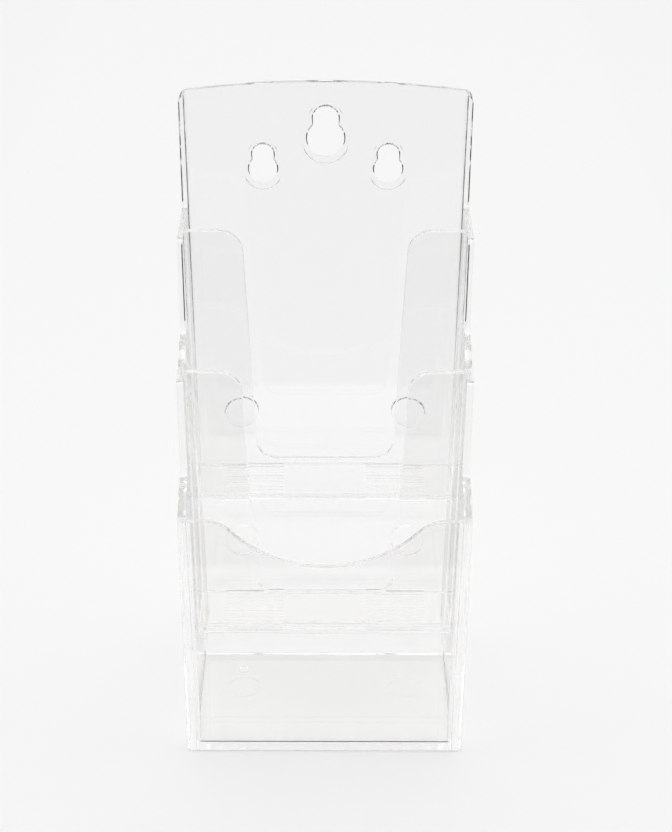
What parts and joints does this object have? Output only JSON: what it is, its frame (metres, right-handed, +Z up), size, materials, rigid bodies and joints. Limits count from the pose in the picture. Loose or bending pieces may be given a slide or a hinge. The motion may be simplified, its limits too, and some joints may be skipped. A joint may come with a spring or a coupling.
{
  "type": "tiered leaflet rack",
  "caption": "Clear stepped leaflet rack with open-topped pockets one behind another, tall finger notches, and keyholes for hanging it on a wall.",
  "frame": {"origin": "middle of the footprint, on the surface the rack stands on", "axes": "+Z up, +Y towards the wall behind the rack, +X to the right seen from the front"},
  "size_m": [0.112, 0.0914, 0.2496],
  "materials": {
    "clear_plastic": "clear moulded, glossy"
  },
  "bodies": {
    "root": {"outer_shell": "clear_plastic", "middle_divider": "clear_plastic", "upper_divider": "clear_plastic"}
  },
  "joints": []
}
